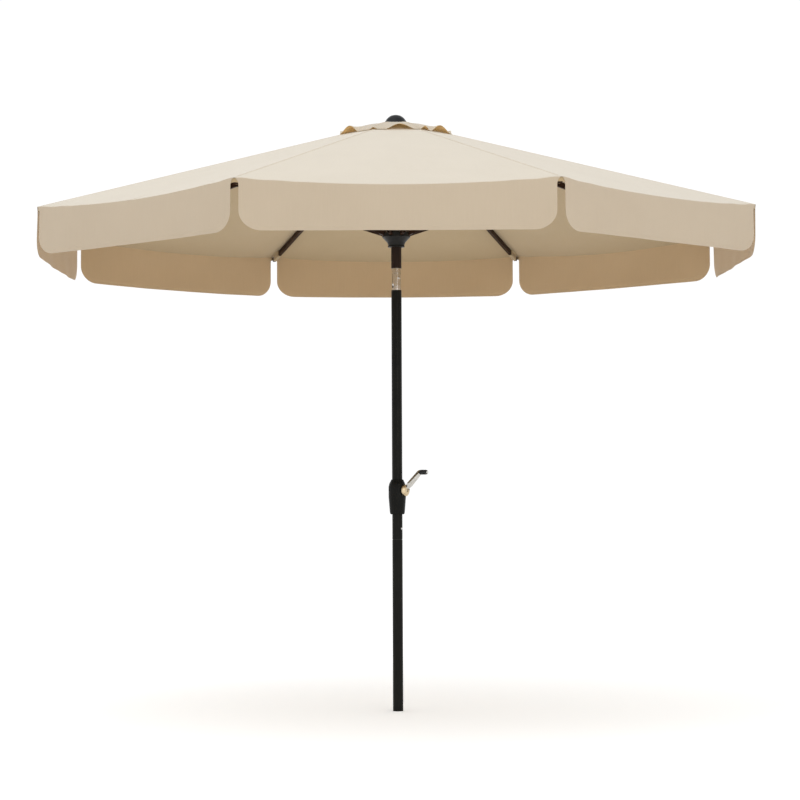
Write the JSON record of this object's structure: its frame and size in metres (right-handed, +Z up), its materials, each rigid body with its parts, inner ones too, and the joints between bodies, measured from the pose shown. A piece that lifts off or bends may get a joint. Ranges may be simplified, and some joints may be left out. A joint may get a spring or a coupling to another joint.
{
  "type": "patio umbrella",
  "caption": "Octagonal market umbrella: straight two-piece pole, crank lift, push-button tilt, folding ribs and struts, vented canopy with valance flaps. No base.",
  "frame": {"origin": "centre of the pole's lower end", "axes": "+Z up along the pole, -Y towards the middle of the front canopy panel"},
  "size_m": [2.4944, 2.4944, 2.1992],
  "materials": {
    "dark_paint": "satin",
    "dark_plastic": "matt",
    "bright_metal": "polished",
    "plain_steel": "satin",
    "brass": "satin",
    "cloth": "matt woven",
    "cord": "braided"
  },
  "bodies": {
    "lower": {"lower_pole": "dark_paint", "pole_foot": "dark_plastic", "pole_coupler": "plain_steel", "main_pole": "dark_paint", "snap_spring": "plain_steel", "crank_housing_front": "dark_plastic", "crank_housing_back": "dark_plastic", "housing_screws": "plain_steel", "lift_cord_lower": "cord", "tilt_fork": "bright_metal", "tilt_pin": "bright_metal", "button_spring": "plain_steel"},
    "snap_button": {"snap_button": "plain_steel"},
    "crank": {"crank_spool": "plain_steel", "crank_boss": "brass", "crank_arm": "plain_steel"},
    "crank_knob": {"crank_knob": "dark_plastic"},
    "tilt_button": {"tilt_button": "bright_metal"},
    "upper": {"tilt_tongue": "bright_metal", "upper_pole": "dark_paint", "top_hub": "dark_plastic", "hub_pins": "plain_steel", "finial": "dark_plastic", "lift_cord_upper": "cord"},
    "pulley": {"cord_pulley": "dark_plastic"},
    "runner": {"runner": "dark_plastic", "runner_pins": "plain_steel", "lift_cord_runner": "cord"},
    "rib_1": {"rib_1": "dark_paint", "canopy_1": "cloth"},
    "strut_1": {"strut_1": "dark_paint"},
    "valance_1": {"valance_1": "cloth"},
    "rib_2": {"rib_2": "dark_paint", "canopy_2": "cloth"},
    "strut_2": {"strut_2": "dark_paint"},
    "valance_2": {"valance_2": "cloth"},
    "rib_3": {"rib_3": "dark_paint", "canopy_3": "cloth"},
    "strut_3": {"strut_3": "dark_paint"},
    "valance_3": {"valance_3": "cloth"},
    "rib_4": {"rib_4": "dark_paint", "canopy_4": "cloth"},
    "strut_4": {"strut_4": "dark_paint"},
    "valance_4": {"valance_4": "cloth"},
    "rib_5": {"rib_5": "dark_paint", "canopy_5": "cloth"},
    "strut_5": {"strut_5": "dark_paint"},
    "valance_5": {"valance_5": "cloth"},
    "rib_6": {"rib_6": "dark_paint", "canopy_6": "cloth"},
    "strut_6": {"strut_6": "dark_paint"},
    "valance_6": {"valance_6": "cloth"},
    "rib_7": {"rib_7": "dark_paint", "canopy_7": "cloth"},
    "strut_7": {"strut_7": "dark_paint"},
    "valance_7": {"valance_7": "cloth"},
    "rib_8": {"rib_8": "dark_paint", "canopy_8": "cloth"},
    "strut_8": {"strut_8": "dark_paint"},
    "valance_8": {"valance_8": "cloth"}
  },
  "joints": [
    {"name": "tilt", "type": "hinge", "parent": "lower", "child": "upper", "pos_m": [0, 0, 1.572], "axis": [-0.6, 0.8, 0], "range_deg": [0, 30]},
    {"name": "fold", "type": "hinge", "parent": "upper", "child": "rib_1", "pos_m": [-0.01607, -0.0388, 2.1495], "axis": [-0.9239, 0.3827, 0], "range_deg": [-69.4, 0], "deforming": ["canopy_1"]},
    {"name": "strut_1_hinge", "type": "hinge", "parent": "rib_1", "child": "strut_1", "pos_m": [-0.23891, -0.57677, 1.95162], "axis": [-0.9239, 0.3827, 0], "range_deg": [0, 138.8]},
    {"name": "valance_1_hinge", "type": "hinge", "parent": "rib_1", "child": "valance_1", "pos_m": [-0.51299, -1.23846, 1.78695], "axis": [-0.9239, 0.3827, 0], "range_deg": [0, 69.4], "deforming": ["valance_1"]},
    {"name": "rib_2_hinge", "type": "hinge", "parent": "upper", "child": "rib_2", "pos_m": [0.01607, -0.0388, 2.1495], "axis": [-0.9239, -0.3827, 0], "range_deg": [-69.4, 0], "deforming": ["canopy_2"]},
    {"name": "strut_2_hinge", "type": "hinge", "parent": "rib_2", "child": "strut_2", "pos_m": [0.23891, -0.57677, 1.95162], "axis": [-0.9239, -0.3827, 0], "range_deg": [0, 138.8]},
    {"name": "valance_2_hinge", "type": "hinge", "parent": "rib_2", "child": "valance_2", "pos_m": [0.51299, -1.23846, 1.78695], "axis": [-0.9239, -0.3827, 0], "range_deg": [0, 69.4], "deforming": ["valance_2"]},
    {"name": "rib_3_hinge", "type": "hinge", "parent": "upper", "child": "rib_3", "pos_m": [0.0388, -0.01607, 2.1495], "axis": [-0.3827, -0.9239, 0], "range_deg": [-69.4, 0], "deforming": ["canopy_3"]},
    {"name": "strut_3_hinge", "type": "hinge", "parent": "rib_3", "child": "strut_3", "pos_m": [0.57677, -0.23891, 1.95162], "axis": [-0.3827, -0.9239, 0], "range_deg": [0, 138.8]},
    {"name": "valance_3_hinge", "type": "hinge", "parent": "rib_3", "child": "valance_3", "pos_m": [1.23846, -0.51299, 1.78695], "axis": [-0.3827, -0.9239, 0], "range_deg": [0, 69.4], "deforming": ["valance_3"]},
    {"name": "rib_4_hinge", "type": "hinge", "parent": "upper", "child": "rib_4", "pos_m": [0.0388, 0.01607, 2.1495], "axis": [0.3827, -0.9239, 0], "range_deg": [-69.4, 0], "deforming": ["canopy_4"]},
    {"name": "strut_4_hinge", "type": "hinge", "parent": "rib_4", "child": "strut_4", "pos_m": [0.57677, 0.23891, 1.95162], "axis": [0.3827, -0.9239, 0], "range_deg": [0, 138.8]},
    {"name": "valance_4_hinge", "type": "hinge", "parent": "rib_4", "child": "valance_4", "pos_m": [1.23846, 0.51299, 1.78695], "axis": [0.3827, -0.9239, 0], "range_deg": [0, 69.4], "deforming": ["valance_4"]},
    {"name": "rib_5_hinge", "type": "hinge", "parent": "upper", "child": "rib_5", "pos_m": [0.01607, 0.0388, 2.1495], "axis": [0.9239, -0.3827, 0], "range_deg": [-69.4, 0], "deforming": ["canopy_5"]},
    {"name": "strut_5_hinge", "type": "hinge", "parent": "rib_5", "child": "strut_5", "pos_m": [0.23891, 0.57677, 1.95162], "axis": [0.9239, -0.3827, 0], "range_deg": [0, 138.8]},
    {"name": "valance_5_hinge", "type": "hinge", "parent": "rib_5", "child": "valance_5", "pos_m": [0.51299, 1.23846, 1.78695], "axis": [0.9239, -0.3827, 0], "range_deg": [0, 69.4], "deforming": ["valance_5"]},
    {"name": "rib_6_hinge", "type": "hinge", "parent": "upper", "child": "rib_6", "pos_m": [-0.01607, 0.0388, 2.1495], "axis": [0.9239, 0.3827, 0], "range_deg": [-69.4, 0], "deforming": ["canopy_6"]},
    {"name": "strut_6_hinge", "type": "hinge", "parent": "rib_6", "child": "strut_6", "pos_m": [-0.23891, 0.57677, 1.95162], "axis": [0.9239, 0.3827, 0], "range_deg": [0, 138.8]},
    {"name": "valance_6_hinge", "type": "hinge", "parent": "rib_6", "child": "valance_6", "pos_m": [-0.51299, 1.23846, 1.78695], "axis": [0.9239, 0.3827, 0], "range_deg": [0, 69.4], "deforming": ["valance_6"]},
    {"name": "rib_7_hinge", "type": "hinge", "parent": "upper", "child": "rib_7", "pos_m": [-0.0388, 0.01607, 2.1495], "axis": [0.3827, 0.9239, 0], "range_deg": [-69.4, 0], "deforming": ["canopy_7"]},
    {"name": "strut_7_hinge", "type": "hinge", "parent": "rib_7", "child": "strut_7", "pos_m": [-0.57677, 0.23891, 1.95162], "axis": [0.3827, 0.9239, 0], "range_deg": [0, 138.8]},
    {"name": "valance_7_hinge", "type": "hinge", "parent": "rib_7", "child": "valance_7", "pos_m": [-1.23846, 0.51299, 1.78695], "axis": [0.3827, 0.9239, 0], "range_deg": [0, 69.4], "deforming": ["valance_7"]},
    {"name": "rib_8_hinge", "type": "hinge", "parent": "upper", "child": "rib_8", "pos_m": [-0.0388, -0.01607, 2.1495], "axis": [-0.3827, 0.9239, 0], "range_deg": [-69.4, 0], "deforming": ["canopy_8"]},
    {"name": "strut_8_hinge", "type": "hinge", "parent": "rib_8", "child": "strut_8", "pos_m": [-0.57677, -0.23891, 1.95162], "axis": [-0.3827, 0.9239, 0], "range_deg": [0, 138.8]},
    {"name": "valance_8_hinge", "type": "hinge", "parent": "rib_8", "child": "valance_8", "pos_m": [-1.23846, -0.51299, 1.78695], "axis": [-0.3827, 0.9239, 0], "range_deg": [0, 69.4], "deforming": ["valance_8"]},
    {"name": "runner_hinge", "type": "hinge", "parent": "strut_1", "child": "runner", "pos_m": [-0.01607, -0.0388, 1.75373], "axis": [-0.9239, 0.3827, 0], "range_deg": [-69.4, 0]},
    {"name": "crank_turn", "type": "hinge", "parent": "lower", "child": "crank", "pos_m": [0, 0, 0.809], "axis": [0.8, -0.6, 0], "range_deg": [-4925, 0]},
    {"name": "pulley_turn", "type": "hinge", "parent": "upper", "child": "pulley", "pos_m": [0, 0.011, 2.1435], "axis": [1, 0, 0], "range_deg": [-4464.8, 0]},
    {"name": "knob_spin", "type": "hinge", "parent": "crank", "child": "crank_knob", "pos_m": [0.08531, -0.01792, 0.87547], "axis": [0.8, -0.6, 0], "continuous": true},
    {"name": "snap_press", "type": "slide", "parent": "lower", "child": "snap_button", "axis": [-0.8, 0.6, 0], "range_m": [0, 0.003], "stiffness_N_per_m": 600, "springref_m": -0.004, "deforming": ["snap_spring"]},
    {"name": "tilt_press", "type": "slide", "parent": "lower", "child": "tilt_button", "axis": [-0.6, 0.8, 0], "range_m": [0, 0.0025], "stiffness_N_per_m": 800, "springref_m": -0.004, "deforming": ["button_spring"]}
  ],
  "couplings": [
    {"joint": "strut_1_hinge", "follows": "fold", "ratio": -2},
    {"joint": "valance_1_hinge", "follows": "fold", "ratio": -1},
    {"joint": "rib_2_hinge", "follows": "fold", "ratio": 1},
    {"joint": "strut_2_hinge", "follows": "fold", "ratio": -2},
    {"joint": "valance_2_hinge", "follows": "fold", "ratio": -1},
    {"joint": "rib_3_hinge", "follows": "fold", "ratio": 1},
    {"joint": "strut_3_hinge", "follows": "fold", "ratio": -2},
    {"joint": "valance_3_hinge", "follows": "fold", "ratio": -1},
    {"joint": "rib_4_hinge", "follows": "fold", "ratio": 1},
    {"joint": "strut_4_hinge", "follows": "fold", "ratio": -2},
    {"joint": "valance_4_hinge", "follows": "fold", "ratio": -1},
    {"joint": "rib_5_hinge", "follows": "fold", "ratio": 1},
    {"joint": "strut_5_hinge", "follows": "fold", "ratio": -2},
    {"joint": "valance_5_hinge", "follows": "fold", "ratio": -1},
    {"joint": "rib_6_hinge", "follows": "fold", "ratio": 1},
    {"joint": "strut_6_hinge", "follows": "fold", "ratio": -2},
    {"joint": "valance_6_hinge", "follows": "fold", "ratio": -1},
    {"joint": "rib_7_hinge", "follows": "fold", "ratio": 1},
    {"joint": "strut_7_hinge", "follows": "fold", "ratio": -2},
    {"joint": "valance_7_hinge", "follows": "fold", "ratio": -1},
    {"joint": "rib_8_hinge", "follows": "fold", "ratio": 1},
    {"joint": "strut_8_hinge", "follows": "fold", "ratio": -2},
    {"joint": "valance_8_hinge", "follows": "fold", "ratio": -1},
    {"joint": "runner_hinge", "follows": "fold", "ratio": 1},
    {"joint": "crank_turn", "follows": "fold", "ratio": 70.95},
    {"joint": "pulley_turn", "follows": "fold", "ratio": 64.32}
  ]
}
